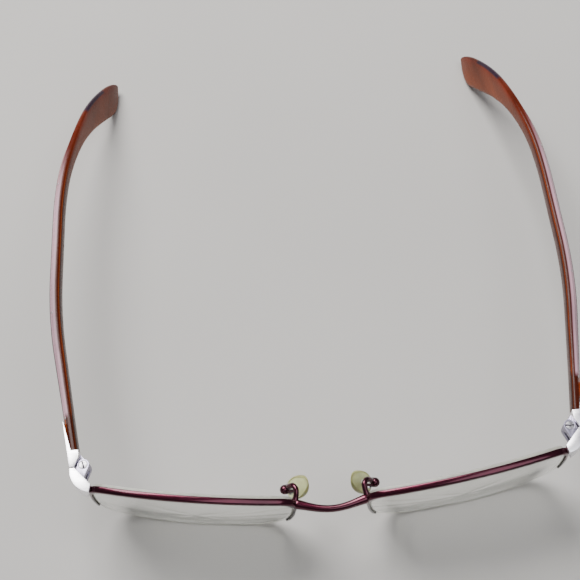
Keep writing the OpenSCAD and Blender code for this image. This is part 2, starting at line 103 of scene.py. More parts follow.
class EyeglassesTemples(bpy.types.PropertyGroup):
    """Sizes of the temples."""

    reach: length("Reach", "Distance from the hinge axis to the end of the tip", 140.0)
    width: length("Width", "Thickness of the sleeve at the hinge", 2.6)
    swell: length("Swell", "How much thicker the sleeve is along its middle", 0.6)
    height: length("Height", "Height of the sleeve along its straight length", 4.8)
    splay: angle("Splay", "Outward slope of the first third of the temple", 9.2)
    drop: angle("Drop", "Downward slope of the straight length", 2.5)
    tip_rise: length("Tip rise", "Height of the broad end of the tip", 8.5)
    tip_end: length("Tip end", "Length of the tip behind its broadest place", 6.5)
    tip_roll: angle("Tip roll", "Turn of the lower edge of the tip towards the head", 20.0)


class EyeglassesPads(bpy.types.PropertyGroup):
    """Sizes of the nose pads and what carries them."""

    pad_height: length("Pad height", "Height of a nose pad", 10.9)
    pad_width: length("Pad width", "Width of a nose pad", 5.5)
    pad_depth: length("Pad thickness", "Thickness of a nose pad", 1.9)
    lean: angle("Pad lean", "Lean of the top of the pad towards the front", 12.0)
    flare: angle("Pad flare", "Lean of the top of the pad towards the nose", 28.0)
    splay: angle("Pad splay", "Turn of the face of the pad towards the back", 18.0)
    wire: length("Wire", "Radius of the wire that carries the pad box", 0.68)


class EyeglassesColours(bpy.types.PropertyGroup):
    """Colours of the finishes."""

    plum: colour("Plum", "Plated metal of the rims, bridge and pad boxes", (0.062, 0.0065, 0.019))
    silver: colour("Silver", "Polished metal of the end pieces and hinges", (0.93, 0.91, 0.95))
    resin: colour("Resin", "Body of the temple sleeves", (0.062, 0.0085, 0.003))
    resin_light: colour("Light resin", "Thin and lit parts of the temple sleeves", (0.33, 0.062, 0.010))
    # A painted sheen: a pink reflection of the light, painted on the outer upper edge and top of the temple sleeves.
    pearl: colour("Pearl", "Outer upper edge of the temple sleeves", (0.56, 0.33, 0.40))
    silicone: colour("Silicone", "Nose pads", (0.86, 0.90, 0.50))
    floor: colour("Floor", "Surface that the glasses stand on", (0.475, 0.462, 0.445))


# --- Mesh making ---


def loft(name, rings, caps=True):
    """A skin over rings of points, made by pulling out one edge loop from ring to ring, with its own UV map."""
    n = len(rings[0])
    bm = bmesh.new()
    made = bmesh.ops.create_circle(bm, segments=n, radius=1.0)["verts"]
    for v, p in zip(made, rings[0]):
        v.co = p
    place = {v: (0, k) for k, v in enumerate(made)}
    loop = list(bm.edges)
    for i, points in enumerate(rings[1:], 1):
        pulled = bmesh.ops.extrude_edge_only(bm, edges=loop)["geom"]
        loop = []
        for v in (g for g in pulled if isinstance(g, bmesh.types.BMVert)):
            k = next(place[e.other_vert(v)][1] for e in v.link_edges if e.other_vert(v) in place
                     and place[e.other_vert(v)][0] == i - 1)
            place[v] = (i, k)
            v.co = points[k]
        for e in (g for g in pulled if isinstance(g, bmesh.types.BMEdge)):
            if all(place.get(v, (-1,))[0] == i for v in e.verts):
                loop.append(e)
    if caps:
        bmesh.ops.holes_fill(bm, edges=[e for e in bm.edges if e.is_boundary], sides=0)
    uv = bm.loops.layers.uv.new("Skin")
    last = len(rings) - 1
    for f in bm.faces:
        ks = [place[c.vert][1] for c in f.loops]
        wraps = max(ks) - min(ks) > n / 2
        for c in f.loops:
            i, k = place[c.vert]
            c[uv].uv = (i / last, (k + (n if wraps and k < n / 2 else 0)) / n)
    bmesh.ops.recalc_face_normals(bm, faces=bm.faces)
    return finished(name, bm)


def finished(name, bm, sharp=math.radians(40)):
    """Turns a bmesh into a smooth shaded object with sharp creases."""
    for f in bm.faces:
        f.smooth = True
    for e in bm.edges:
        e.smooth = not (e.is_manifold and e.calc_face_angle(0.0) > sharp)
    mesh = bpy.data.meshes.new(name)
    bm.to_mesh(mesh)
    bm.free()
    obj = bpy.data.objects.new(name, mesh)
    bpy.context.scene.collection.objects.link(obj)
    return obj


def softened(node, name, width, segments=3):
    """A copy of a machined piece with its long edges broken by a small round."""
    bm = bmesh.new()
    bm.from_mesh(frame["nodes"][node].data)
    bmesh.ops.remove_doubles(bm, verts=bm.verts, dist=2e-6)
    bmesh.ops.dissolve_limit(bm, angle_limit=math.radians(1.0), verts=bm.verts, edges=bm.edges)
    bmesh.ops.recalc_face_normals(bm, faces=bm.faces)
    edges = [e for e in bm.edges if e.is_manifold and e.calc_face_angle(0.0) > math.radians(32)]
    bmesh.ops.bevel(
        bm, geom=edges, offset=width, offset_type="OFFSET", affect="EDGES", segments=segments,
        profile=0.5, material=-1, clamp_overlap=True, harden_normals=False,
    )
    bmesh.ops.triangulate(bm, faces=[f for f in bm.faces if len(f.verts) > 4])
    return finished(name, bm, math.radians(28))


def squircle(n, power):
    """Points round a unit section between a circle and a square, from +X counter-clockwise."""
    points = []
    for k in range(n):
        t = 2 * math.pi * k / n
        c, s = math.cos(t), math.sin(t)
        points.append((math.copysign(abs(c) ** power, c), math.copysign(abs(s) ** power, s)))
    return points


def blend_up(t):
    """A smooth step from 0 to 1."""
    t = min(1.0, max(0.0, t))
    return t * t * (3 - 2 * t)


def mirrored(side, p):
    """A point of the right half, in millimetres behind the hinge line, in metres on its own side."""
    return Vector((side * p[0], HINGE.y / MM + p[1], p[2])) * MM


def refinish(node, finish):
    """Gives a carried-over CAD node its finish."""
    data = frame["nodes"][node].data
    data.materials.clear()
    data.materials.append(finish)


# --- Shape of the front ---


class Outline:
    """The lens outline: four corner circles joined by four long arcs, turning counter-clockwise."""

    def __init__(self, front):
        w, h = front.lens_width / MM / 2, front.lens_height / MM / 2
        # Centre and radius of each corner circle, from the upper temple corner to the lower one by way of the nose.
        corners = [
            (w - 4.8, h - 4.85, 4.5), (5.1 - w, h - 7.4, 5.0), (12.7 - w, 11.2 - h, 11.0), (w - 10.1, 10.2 - h, 10.0)
        ]
        # Radius of the long arc that follows each corner: top, nose side, bottom and temple side.
        sides = [90.0, 70.0, 320.0, 70.0]
        hubs = []
        for i in range(4):
            (ax, ay, ar), (bx, by, br), r = corners[i], corners[(i + 1) % 4], sides[i]
            da, db, gx, gy = r - ar, r - br, bx - ax, by - ay
            d = math.hypot(gx, gy)
            along = (da * da - db * db + d * d) / (2 * d)
            across = math.sqrt(da * da - along * along)
            hubs.append((ax + gx / d * along - gy / d * across, ay + gy / d * along + gx / d * across))
        self.arcs = []
        turn = -90.0
        for i in range(4):
            cx, cy, r = corners[i]
            start = self.from_angle(math.degrees(math.atan2(cy - hubs[i - 1][1], cx - hubs[i - 1][0])), turn)
            stop = self.from_angle(math.degrees(math.atan2(cy - hubs[i][1], cx - hubs[i][0])), start)
            if i:
                self.arcs[-1][1] = start
            else:
                self.first = start
            self.arcs += [[start, stop, cx, cy, r], [stop, stop, *hubs[i], sides[i]]]
            turn = start
        self.arcs[-1][1] = self.first + 360

    @staticmethod
    def from_angle(a, low):
        """The same direction as a, counted within one turn from low."""
        while a < low - 0.001:
            a += 360
        while a >= low + 360:
            a -= 360
        return a

    def at(self, a, grow=0.0):
        """The point facing angle a, moved out by grow."""
        a = self.from_angle(a, self.first)
        start, stop, cx, cy, r = next(s for s in self.arcs if s[0] - 0.002 <= a <= s[1] + 0.002)
        return cx + (r + grow) * math.cos(math.radians(a)), cy + (r + grow) * math.sin(math.radians(a))

    def turns(self, low, high, step=0.9):
        """Angles from low to high whose points lie about step millimetres apart."""
        angles, a = [low], low
        while a < high - 1e-6:
            b = self.from_angle(a + 0.01, self.first)
            r = next(s[4] for s in self.arcs if s[0] - 0.002 <= b <= s[1] + 0.002)
            a = min(high, a + math.degrees(min(step, 0.13 * r) / r))
            angles.append(a)
        return angles


# Places on the right half in millimetres, with Y counted back from the hinge line.
LENS_CENTRE = (33.9577, -10.7709, 13.9023)
NOSE_CORNER = (9.324, -12.254, 22.943)
BRIDGE_Z = 22.637
# Gap between the lens edge and the rim.
SEAT = 0.05
# Angles round the outline at which a rim and a cord begin and end.
RIM_ENDS = (-3, 205)
CORD_ENDS = (180, 358)
# A cord's radius, how far its middle lies inside the lens edge and how far behind the lens front.
CORD_RADIUS, CORD_SINK, CORD_DEPTH = 0.2, 0.24, 0.55
# How far the front and back of a lens edge are eased off.
EDGE_EASE = 0.16


def lens_point(front, u, v, depth):
    """A point of the right lens: u towards the temple, v up, depth behind the front surface."""
    r = front.base_radius / MM
    s = r - math.sqrt((r - depth) ** 2 - u * u - v * v)
    y = s * math.cos(front.lean) - v * math.sin(front.lean)
    z = s * math.sin(front.lean) + v * math.cos(front.lean)
    return (
        LENS_CENTRE[0] + u * math.cos(front.wrap) - y * math.sin(front.wrap),
        LENS_CENTRE[1] + u * math.sin(front.wrap) + y * math.cos(front.wrap),
        LENS_CENTRE[2] + z,
    )


def rim_height(front, a):
    """Height of the rim above the lens where the outline faces angle a."""
    hook, full = front.hook / MM, front.rim_height / MM
    return hook + (full - hook) * blend_up((a - 8) / 32) * blend_up((178 - a) / 32)


# --- Finishes ---


def shader(name, base, **sockets):
    """A new material with one Principled shader and its constants."""
    mat = bpy.data.materials.new(name)
    mat.use_nodes = True
    bsdf = mat.node_tree.nodes["Principled BSDF"]
    bsdf.inputs["Base Color"].default_value = (*base, 1)
    for k, v in sockets.items():
        bsdf.inputs[k.replace("_", " ")].default_value = v
    mat.diffuse_color = (*base, 1)
    return mat, mat.node_tree.nodes, mat.node_tree.links, bsdf


def add(nodes, kind, **values):
    """A node with its settings."""
    node = nodes.new(kind)
    for k, v in values.items():
        if k in node.bl_rna.properties:
            setattr(node, k, v)
        else:
            node.inputs[k.replace("_", " ")].default_value = v
    return node


def grain(nodes, links, scale, detail=3.0, stretch=(1, 1, 1)):
    """Noise in the object's coordinates."""
    coords = add(nodes, "ShaderNodeTexCoord")
    mapping = add(nodes, "ShaderNodeMapping")
    mapping.inputs["Scale"].default_value = stretch
    noise = add(nodes, "ShaderNodeTexNoise", Scale=scale, Detail=detail)
    links.new(coords.outputs["Object"], mapping.inputs["Vector"])
    links.new(mapping.outputs["Vector"], noise.inputs["Vector"])
    return noise.outputs["Fac"]


def ramp(nodes, links, source, stops, smooth="LINEAR"):
    """A colour ramp fed by source. Stops are (place, colour or grey)."""
    node = add(nodes, "ShaderNodeValToRGB")
    node.color_ramp.interpolation = smooth
    while len(node.color_ramp.elements) < len(stops):
        node.color_ramp.elements.new(1.0)
    for e, (at, c) in zip(node.color_ramp.elements, stops):
        e.position = at
        e.color = (c, c, c, 1) if isinstance(c, (int, float)) else (*c, 1)
    links.new(source, node.inputs["Fac"])
    return node.outputs["Color"]


def two_tone(nodes, links, source, low, high, ends=(0.3, 0.7)):
    """A ramp between two colours or greys, level outside its ends."""
    return ramp(nodes, links, source, [(ends[0], low), (ends[1], high)])


def mixed(nodes, links, fac, a, b, kind="MIX"):
    """A colour mix. a and b are sockets or colours."""
    node = add(nodes, "ShaderNodeMix", data_type="RGBA", blend_type=kind)
    for socket, v in ((node.inputs[0], fac), (node.inputs[6], a), (node.inputs[7], b)):
        if isinstance(v, bpy.types.NodeSocket):
            links.new(v, socket)
        else:
            socket.default_value = v if isinstance(v, (int, float)) else (*v, 1)
    return node.outputs[2]


def bumped(nodes, links, bsdf, height, strength, distance):
    """Relief from a height socket."""
    node = add(nodes, "ShaderNodeBump", Strength=strength, Distance=distance)
    links.new(height, node.inputs["Height"])
    links.new(node.outputs["Normal"], bsdf.inputs["Normal"])


def shade(c, k):
    """A colour made lighter or darker."""
    return tuple(min(1.0, x * k) for x in c)


# Heights between which the painted shade on the hooks and other low parts fades into the plating's own colour, in
# metres.
PAINTED_SHADE_FULL, PAINTED_SHADE_NONE = 0.0185, 0.0215


def plated_plum(colours):
    """Burgundy plating over polished metal, clear lacquered, hazed by handling, and darkened towards the bottom by
    painted shade on the hooks and other low parts.
    """
    mat, nodes, links, bsdf = shader(
        "plated_plum", colours.plum, Metallic=0.92, Coat_Weight=0.45, Coat_Roughness=0.08, Coat_IOR=1.5
    )
    noise = grain(nodes, links, 95.0, 2.0)
    drift = two_tone(nodes, links, noise, shade(colours.plum, 0.72), shade(colours.plum, 1.35))
    coords = add(nodes, "ShaderNodeTexCoord")
    split = add(nodes, "ShaderNodeSeparateXYZ")
    links.new(coords.outputs["Object"], split.inputs["Vector"])
    height = add(nodes, "ShaderNodeMapRange", From_Min=PAINTED_SHADE_FULL, From_Max=PAINTED_SHADE_NONE)
    links.new(split.outputs["Z"], height.inputs["Value"])
    # Painted shade: below these heights the plating is painted nearly black.
    low_shade = mixed(nodes, links, height.outputs["Result"], (0.012, 0.003, 0.006), drift)
    links.new(low_shade, bsdf.inputs["Base Color"])
    haze = two_tone(nodes, links, grain(nodes, links, 900.0, 4.0), 0.17, 0.29, (0.25, 0.75))
    links.new(haze, bsdf.inputs["Roughness"])
    bumped(nodes, links, bsdf, grain(nodes, links, 2600.0, 3.0), 0.06, 0.00003)
    return mat


def polished_silver(colours):
    """Bright nickel plating with a faint brushed drag and lilac cast."""
    mat, nodes, links, bsdf = shader("polished_silver", colours.silver, Metallic=1.0)
    noise = grain(nodes, links, 140.0)
    tone = two_tone(nodes, links, noise, shade(colours.silver, 0.97), shade(colours.silver, 1.06))
    links.new(tone, bsdf.inputs["Base Color"])
    drag = grain(nodes, links, 2200.0, 2.0, (0.12, 1, 1))
    links.new(two_tone(nodes, links, drag, 0.27, 0.36), bsdf.inputs["Roughness"])
    bumped(nodes, links, bsdf, drag, 0.03, 0.00001)
    return mat


def satin_silver(colours):
    """The hinge knuckles: the same plating, duller, with a lilac cast and its colour darkened and greyed as painted
    shade.
    """
    # The plating's colour, darkened and greyed as painted shade.
    base = tuple(c * k for c, k in zip(colours.silver, (0.38, 0.365, 0.45)))
    mat, nodes, links, bsdf = shader("satin_silver", base, Metallic=1.0)
    tone = two_tone(nodes, links, grain(nodes, links, 420.0), shade(base, 0.82), shade(base, 1.12))
    links.new(tone, bsdf.inputs["Base Color"])
    marks = grain(nodes, links, 3800.0, 2.0)
    links.new(two_tone(nodes, links, marks, 0.28, 0.42), bsdf.inputs["Roughness"])
    bumped(nodes, links, bsdf, marks, 0.12, 0.00002)
    return mat


def turned_steel(colours):
    """Small screws and pins, with fine turning marks and darker grime."""
    mat, nodes, links, bsdf = shader("turned_steel", (0.55, 0.54, 0.57), Metallic=1.0)
    noise = grain(nodes, links, 1600.0)
    grime = two_tone(nodes, links, noise, (0.26, 0.24, 0.27), (0.62, 0.61, 0.64), (0.32, 0.6))
    links.new(grime, bsdf.inputs["Base Color"])
    marks = grain(nodes, links, 5200.0, 2.0)
    links.new(two_tone(nodes, links, marks, 0.24, 0.42), bsdf.inputs["Roughness"])
    bumped(nodes, links, bsdf, marks, 0.15, 0.00002)
    return mat


def slot_grime(colours):
    """Painted shade in the bottom of a screw slot, in dark tones that vary at random."""
    mat, nodes, links, bsdf = shader("slot_grime", (0.03, 0.025, 0.035), Roughness=0.8)
    slot_shade_tone = two_tone(nodes, links, grain(nodes, links, 3000.0), (0.015, 0.012, 0.02), (0.05, 0.04, 0.06))
    links.new(slot_shade_tone, bsdf.inputs["Base Color"])
    return mat


def clear_lens(colours):
    """Clear plastic lens with a faint warm green tint and the odd smear."""
    mat, nodes, links, bsdf = shader(
        "clear_lens", (0.965, 0.975, 0.94), Transmission_Weight=1.0, IOR=1.5, Coat_Weight=0.0
    )
    smear = grain(nodes, links, 60.0, 5.0, (1, 1, 0.4))
    links.new(two_tone(nodes, links, smear, 0.0, 0.05, (0.5, 0.78)), bsdf.inputs["Roughness"])
    return mat


def ground_edge(colours):
    """The ground and grooved edge of a lens: milky, faintly green."""
    mat, nodes, links, bsdf = shader(
        "ground_edge", (0.66, 0.67, 0.58), Transmission_Weight=0.6, IOR=1.5, Roughness=0.42
    )
    tone = two_tone(nodes, links, grain(nodes, links, 700.0), (0.58, 0.58, 0.50), (0.74, 0.74, 0.66))
    links.new(tone, bsdf.inputs["Base Color"])
    bumped(nodes, links, bsdf, grain(nodes, links, 4200.0, 2.0), 0.2, 0.00003)
    return mat


def clear_nylon(colours):
    """Drawn nylon thread and moulded inserts."""
    mat, nodes, links, bsdf = shader("clear_nylon", (0.82, 0.83, 0.77), Transmission_Weight=0.3, IOR=1.53)
    tone = two_tone(nodes, links, grain(nodes, links, 500.0, 2.0), (0.76, 0.77, 0.70), (0.90, 0.90, 0.86))
    links.new(tone, bsdf.inputs["Base Color"])
    drawn = two_tone(nodes, links, grain(nodes, links, 1500.0, 2.0), 0.22, 0.4)
    links.new(drawn, bsdf.inputs["Roughness"])
    return mat


def soft_silicone(colours):
    """Silicone yellowed by wear: translucent, a little dusty, darker round its rim."""
    mat, nodes, links, bsdf = shader(
        "soft_silicone", colours.silicone, Transmission_Weight=0.32, IOR=1.41, Subsurface_Weight=0.35,
        Subsurface_Scale=0.002, Coat_Weight=0.15, Coat_Roughness=0.3,
    )
    bsdf.inputs["Subsurface Radius"].default_value = (1.0, 0.85, 0.4)
    coords = add(nodes, "ShaderNodeUVMap", uv_map="Skin")
    split = add(nodes, "ShaderNodeSeparateXYZ")
    links.new(coords.outputs["UV"], split.inputs["Vector"])
    rim = ramp(nodes, links, split.outputs["X"], [(0.26, 0.0), (0.42, 1.0), (0.58, 1.0), (0.74, 0.0)])
    noise = grain(nodes, links, 380.0, 4.0)
    cloud = two_tone(nodes, links, noise, shade(colours.silicone, 0.86), shade(colours.silicone, 1.1))
    links.new(mixed(nodes, links, rim, cloud, (0.40, 0.40, 0.17)), bsdf.inputs["Base Color"])
    dust = two_tone(nodes, links, grain(nodes, links, 1200.0), 0.3, 0.46)
    links.new(dust, bsdf.inputs["Roughness"])
    bumped(nodes, links, bsdf, grain(nodes, links, 2400.0, 3.0), 0.12, 0.00004)
    return mat


def cast_resin(colours):
    """Brown resin, glossy, with light painted into it: a red brown body with a darker outer side, a painted sheen (a
    pink reflection of the light) on the outer top edge and the top, orange lines of painted light shining through the
    resin, and a tip painted lighter where light shines through the thin resin, with a dark inlay.

    The Skin map's X runs from the front end to the tip. Its Y runs round the section from the outer side over
    the top: each ramp's stops below are places on it.
    """
    mat, nodes, links, bsdf = shader("cast_resin", colours.resin, IOR=1.45, Specular_IOR_Level=0.15)
    coords = add(nodes, "ShaderNodeUVMap", uv_map="Skin")
    split = add(nodes, "ShaderNodeSeparateXYZ")
    links.new(coords.outputs["UV"], split.inputs["Vector"])
    wander = grain(nodes, links, 60.0, 3.0, (1, 0.15, 1))
    around = add(nodes, "ShaderNodeMath", operation="MULTIPLY_ADD")
    links.new(wander, around.inputs[0])
    around.inputs[1].default_value = 0.012
    links.new(split.outputs["Y"], around.inputs[2])
    dark, body, light, pearl = shade(colours.resin, 0.45), colours.resin, colours.resin_light, colours.pearl
    # Round the sleeve: a darker outer side with a near-black line at its top, the painted sheen over the outer top
    # edge and the top, the red brown body, an orange line of painted light shining through the resin at the inner top
    # corner, and a lighter inner side.
    layers = ramp(nodes, links, around.outputs[0], [
        (0.0, shade(body, 0.35)), (0.06, (0.012, 0.003, 0.005)), (0.072, pearl), (0.20, pearl),
        (0.258, shade(pearl, 0.85)), (0.27, shade(body, 0.8)), (0.345, shade(body, 1.4)),
        (0.358, shade(light, 0.7)), (0.372, shade(light, 0.75)), (0.385, shade(body, 0.8)),
        (0.60, shade(body, 1.3)), (0.75, body), (1.0, shade(body, 0.35)),
    ])
    # Round the bare front end: a darker outer side, an orange streak of painted light shining through the resin near
    # the outer top edge, and a dark brown body with a faint orange line at the inner top corner.
    bare = ramp(nodes, links, around.outputs[0], [
        (0.0, shade(body, 0.35)), (0.055, shade(body, 0.4)), (0.085, shade(light, 1.1)),
        (0.14, shade(light, 0.9)), (0.18, shade(body, 0.8)), (0.33, shade(body, 0.65)),
        (0.35, shade(light, 0.35)), (0.375, dark), (0.70, body), (1.0, shade(body, 0.35)),
    ])
    # Round the tip: lighter colours, painted light shining through the thin resin, with the painted sheen along the
    # outer top edge.
    tip = ramp(nodes, links, around.outputs[0], [
        (0.0, shade(light, 0.5)), (0.035, shade(pearl, 0.8)), (0.06, shade(pearl, 0.8)),
        (0.08, shade(light, 1.4)), (0.13, light), (0.18, shade(body, 1.5)), (0.34, shade(body, 1.2)),
        (0.38, shade(body, 2.0)), (0.50, (0.15, 0.034, 0.013)), (0.62, (0.20, 0.045, 0.014)),
        (0.8, shade(light, 0.6)), (1.0, shade(light, 0.5)),
    ])
    x = split.outputs["X"]
    inlay_width = ramp(nodes, links, around.outputs[0], [(0.10, 0.0), (0.13, 1.0), (0.37, 1.0), (0.40, 0.0)])
    inlay_span = ramp(nodes, links, x, [(0.775, 0.0), (0.785, 1.0), (0.868, 1.0), (0.874, 0.0)])
    past_bare = ramp(nodes, links, x, [(0.068, 0.0), (0.078, 1.0)])
    towards_tip = ramp(nodes, links, x, [(0.5, 0.0), (0.68, 1.0)], "EASE")
    base = mixed(nodes, links, towards_tip, mixed(nodes, links, past_bare, bare, layers), tip)
    inlay = mixed(nodes, links, 1.0, inlay_width, inlay_span, "MULTIPLY")
    base = mixed(nodes, links, inlay, base, (0.022, 0.009, 0.020))
    fibres = grain(nodes, links, 170.0, 4.0, (1, 0.16, 1))
    streak = ramp(nodes, links, fibres, [(0.28, 0.62), (0.5, 1.0), (0.74, 1.35)])
    streaked = mixed(nodes, links, 1.0, base, streak, "MULTIPLY")
    links.new(streaked, bsdf.inputs["Base Color"])
    handled = grain(nodes, links, 420.0, 4.0)
    links.new(two_tone(nodes, links, handled, 0.2, 0.36, (0.3, 0.75)), bsdf.inputs["Roughness"])
    bumped(nodes, links, bsdf, grain(nodes, links, 900.0, 2.0, (1, 0.3, 1)), 0.05, 0.00005)
    return mat


def pale_floor(colours):
    """A plain pale matt surface."""
    mat, nodes, links, bsdf = shader("pale_floor", colours.floor, Roughness=0.85)
    noise = grain(nodes, links, 9.0)
    tone = two_tone(nodes, links, noise, shade(colours.floor, 0.97), shade(colours.floor, 1.03))
    links.new(tone, bsdf.inputs["Base Color"])
    return mat


FINISHES = {}


def finish(maker):
    """The one material of a kind, made when it is first needed."""
    if maker not in FINISHES:
        FINISHES[maker] = maker(bpy.context.scene.eyeglasses_colours)
    return FINISHES[maker]


# --- Which body a piece belongs to ---

BODY_OF = {n: body for body, nodes in frame["record"]["behaviour"]["bodies"].items() for n in nodes}


def fit(obj, node, *finishes):
    """Puts a new piece in the place of its CAD node, on the same body, and gives it its finishes."""
    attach(obj, BODY_OF[node])
    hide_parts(node)
    for f in finishes:
        obj.data.materials.append(finish(f))
    return obj


def at_lens(front, side, a, grow, depth):
    """A point beside the lens outline, in metres on its own side."""
    u, v = front.outline.at(a, grow)
    return mirrored(side, lens_point(front, u, v, depth))


class Front:
    """The sizes of the front with its lens outline."""

    def __init__(self, group):
        for name in group.__annotations__:
            setattr(self, name, getattr(group, name))
        self.outline = Outline(group)


# --- Front pieces ---


class EYEGLASSES_OT_rims(bpy.types.Operator):
    """Makes the two upper rims, which end in thin hooks beside the lenses"""

    bl_idname = "eyeglasses.rims"
    bl_label = "Rims"

    def execute(self, context):
        front = Front(context.scene.eyeglasses_front)
        proud, deep = front.rim_proud / MM, front.rim_depth / MM
        section = squircle(24, 0.5)
        for word, side in SIDES:
            rings = []
            for a in front.outline.turns(*RIM_ENDS, 0.8):
                hook = 1 - blend_up((a - 4) / 22) * blend_up((184 - a) / 16)
                high = rim_height(front, a) * (1 - 0.12 * hook)
                thin = 0.75 + 0.25 * blend_up(min(a - RIM_ENDS[0], RIM_ENDS[1] - a) / 14)
                near, far = -proud + 0.35 * deep * hook * (1 - thin), deep - proud - 0.35 * deep * (1 - thin)
                rings.append([
                    at_lens(front, side, a, SEAT + high * (0.5 + 0.5 * p), (near + far) / 2 + (far - near) / 2 * q)
                    for p, q in section
                ])
            fit(loft(f"upper_rim_{word}", rings), f"rim_{word}", plated_plum)
        return {"FINISHED"}


class EYEGLASSES_OT_lenses(bpy.types.Operator):
    """Makes the two lenses with their ground edge and the groove that runs round it"""

    bl_idname = "eyeglasses.lenses"
    bl_label = "Lenses"

    def execute(self, context):
        front = Front(context.scene.eyeglasses_front)
        deep = front.lens_depth / MM
        turns = front.outline.turns(front.outline.first, front.outline.first + 360, 0.9)[:-1]
        # Step out from the edge, and depth, at the eased front, the groove and the eased back.
        edge = [
            (-EDGE_EASE, 0.0), (-0.05, 0.03), (0, EDGE_EASE), (0, 0.30), (-0.12, 0.33), (-0.5, 0.45),
            (-0.55, CORD_DEPTH), (-0.5, 0.65), (-0.12, 0.77), (0, 0.80), (0, deep - 0.22), (-0.06, deep - 0.05),
            (-0.2, deep),
        ]
        shares = [0.03, 0.2, 0.4, 0.6, 0.78, 0.9, 0.96]
        for word, side in SIDES:
            rings = []
            for share in shares:
                rings.append([self.inner(front, side, a, share, 0.0) for a in turns])
            rings += [[at_lens(front, side, a, grow, depth) for a in turns] for grow, depth in edge]
            for share in reversed(shares):
                rings.append([self.inner(front, side, a, share, deep) for a in turns])
            obj = loft(f"clear_lens_{word}", rings)
            fit(obj, f"lens_{word}", clear_lens, ground_edge)
            uv = obj.data.uv_layers["Skin"].data
            first, last = len(shares), len(shares) + len(edge) - 1
            for face in obj.data.polygons:
                ring = sum(uv[c].uv.x for c in face.loop_indices) / face.loop_total * (len(rings) - 1)
                face.material_index = 1 if first < ring < last and len(face.vertices) == 4 else 0
        return {"FINISHED"}

    @staticmethod
    def inner(front, side, a, share, depth):
        """A point of a lens face, at a share of the way from its middle to its edge."""
        u, v = front.outline.at(a, -EDGE_EASE)
        return mirrored(side, lens_point(front, u * share, v * share, depth))


class EYEGLASSES_OT_cords(bpy.types.Operator):
    """Makes the nylon cords that hold the lower edges of the lenses"""

    bl_idname = "eyeglasses.cords"
    bl_label = "Lens cords"

    def execute(self, context):
        front = Front(context.scene.eyeglasses_front)
        section = squircle(12, 1.0)
        for word, side in SIDES:
            rings = [
                [
                    at_lens(front, side, a, CORD_RADIUS * p - CORD_SINK, CORD_DEPTH + CORD_RADIUS * q)
                    for p, q in section
                ]
                for a in front.outline.turns(*CORD_ENDS, 0.7)
            ]
            fit(loft(f"nylon_cord_{word}", rings), f"lens_cord_{word}", clear_nylon)
            refinish(f"rim_liner_{word}", finish(clear_nylon))
        return {"FINISHED"}


class EYEGLASSES_OT_bridge(bpy.types.Operator):
    """Makes the bowed bridge bar with its flared, soldered ends"""

    bl_idname = "eyeglasses.bridge"
    bl_label = "Bridge"

    def execute(self, context):
        front = Front(context.scene.eyeglasses_front)
        bow, deep, high = front.bridge_bow / MM, front.bridge_depth / MM, front.bridge_height / MM
        half, reach = NOSE_CORNER[0] + 0.3, NOSE_CORNER[0] - 0.45
        wave, arch = 0.35, 0.25
        steps, rings = 60, []
        for i in range(steps + 1):
            x = reach * (2 * i / steps - 1)
            t = x / half
            ease = wave * (1 - math.cos(math.pi * t)) / 2 + (1 - wave) * t * t
            slope = wave * math.pi / 2 * math.sin(math.pi * t) + (1 - wave) * 2 * t
            turn = math.atan(bow * slope / half)
            swell = 1 + 0.5 * abs(t) ** 2.4
            pinch = 0.8 + 0.2 * math.sqrt(min(1.0, max(0.0, (reach - abs(x)) / 0.5)))
            centre = Vector((x, NOSE_CORNER[1] - bow + bow * ease, BRIDGE_Z + arch * (1 - ease)))
            ahead = Vector((math.sin(turn), -math.cos(turn), 0)) * deep / 2 * swell * pinch
            up = Vector((0, 0, high / 2 * swell * pinch))
            rings.append([mirrored(1, centre + ahead * p + up * q) for p, q in squircle(28, 0.8)])
        fit(loft("bridge_bar", rings), "bridge", plated_plum)
        return {"FINISHED"}


def soften(kind, new, width, *makers):
    """Softened copies of both machined pieces of a kind."""
    for word, _ in SIDES:
        fit(softened(f"{kind}_{word}", f"{new}_{word}", width * MM), f"{kind}_{word}", *makers)


class EYEGLASSES_OT_end_pieces(bpy.types.Operator):
    """Makes the silver end pieces that carry the front half of each hinge"""

    bl_idname = "eyeglasses.end_pieces"
    bl_label = "End pieces"

    def execute(self, context):
        soften("end_piece", "corner_plate", 0.22, polished_silver)
        return {"FINISHED"}


class EYEGLASSES_OT_hinges(bpy.types.Operator):
    """Makes the hinge knuckles and their slotted screws"""

    bl_idname = "eyeglasses.hinges"
    bl_label = "Hinges"

    def execute(self, context):
        soften("front_hinge", "front_knuckles", 0.09, satin_silver)
        soften("temple_hinge", "temple_knuckle", 0.09, satin_silver)
        soften("hinge_screw", "slotted_screw", 0.03, turned_steel, slot_grime)
        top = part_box("hinge_screw_right")[1].z
        for word, _ in SIDES:
            # The floors of the screw slots get the painted slot shade.
            for face in bpy.data.objects[f"slotted_screw_{word}"].data.polygons:
                below = (top - face.center.z) / MM
                if 0.1 < below < 0.5 and abs(face.normal.z) > 0.9:
                    face.material_index = 1
        return {"FINISHED"}


# --- Nose pads and what carries them ---


def pad_matrix():
    """Where a nose pad sits on the right side: +X away from the nose and +Z up its height."""
    pads = bpy.context.scene.eyeglasses_pads
    face = Matrix.Rotation(-pads.splay, 4, "Z") @ Matrix.Rotation(-pads.flare, 4, "Y")
    return Matrix.Translation(PAD_PIVOT) @ face @ Matrix.Rotation(pads.lean, 4, "X")


def at_pad(side, x, y, z):
    """A point given on the pad, in metres on its own side."""
    p = pad_matrix() @ (Vector((x, y, z)) * MM)
    return Vector((side * p.x, p.y, p.z))


def spline(points, i, t):
    """A point between points i and i + 1 on a smooth curve through all of them."""
    a, b, c = points[max(0, i - 1)], points[i], points[i + 1]
    d = points[min(len(points) - 1, i + 2)]
    return 0.5 * (2 * b + (c - a) * t + (2 * a - 5 * b + 4 * c - d) * t * t + (3 * b - a - 3 * c + d) * t ** 3)


